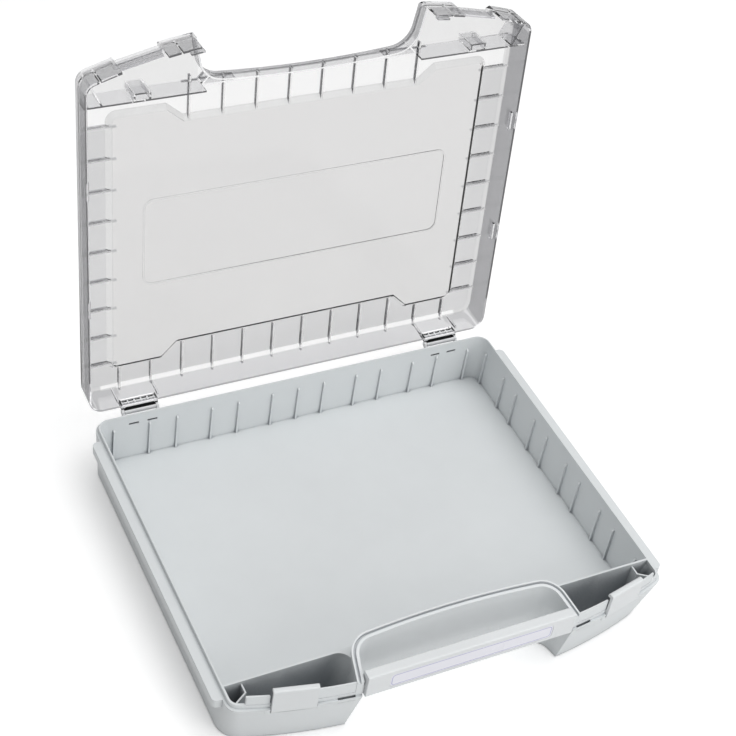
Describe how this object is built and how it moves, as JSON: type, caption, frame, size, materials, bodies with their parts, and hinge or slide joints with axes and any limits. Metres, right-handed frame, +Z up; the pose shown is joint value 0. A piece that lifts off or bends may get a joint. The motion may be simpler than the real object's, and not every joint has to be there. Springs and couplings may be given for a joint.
{
  "type": "small parts case",
  "caption": "Flat carrying case with a light grey tray, a hinged clear lid, a front grip bar between two latches, and rails along both sides.",
  "frame": {"origin": "on the table, under the middle of the closed case's overall footprint", "axes": "+X to the right seen from the front, +Y to the hinges at the back, +Z up; the lid stands open at rest"},
  "size_m": [0.367, 0.3666, 0.3569],
  "materials": {
    "tray_plastic": "fine moulded texture, light grey",
    "clear_plastic": "clear, smooth",
    "hinge_plastic": "fine moulded texture, pale grey",
    "label_card": "plain strip, left blank",
    "pin_steel": "drawn wire"
  },
  "bodies": {
    "tray": {"base_tray": "tray_plastic", "grip_bar": "tray_plastic", "label_strip": "label_card", "latch_pin_left": "pin_steel", "latch_pin_right": "pin_steel", "hinge_tray_leaf_left": "hinge_plastic", "hinge_tray_leaf_right": "hinge_plastic", "hinge_pin_left": "pin_steel", "hinge_pin_right": "pin_steel"},
    "cover": {"lid": "clear_plastic", "hinge_lid_leaf_left": "hinge_plastic", "hinge_lid_leaf_right": "hinge_plastic"},
    "left_latch": {"latch_left": "tray_plastic"},
    "right_latch": {"latch_right": "tray_plastic"}
  },
  "joints": [
    {"name": "lid_hinge", "type": "hinge", "parent": "tray", "child": "cover", "pos_m": [0, 0.1557, 0.046], "axis": [1, 0, 0], "range_deg": [0, 95]},
    {"name": "left_latch_pivot", "type": "hinge", "parent": "tray", "child": "left_latch", "pos_m": [-0.13277, -0.14729, 0.0436], "axis": [0.9771, -0.2129, 0], "range_deg": [0, 20]},
    {"name": "right_latch_pivot", "type": "hinge", "parent": "tray", "child": "right_latch", "pos_m": [0.13277, -0.14729, 0.0436], "axis": [0.9771, 0.2129, 0], "range_deg": [0, 20]}
  ]
}
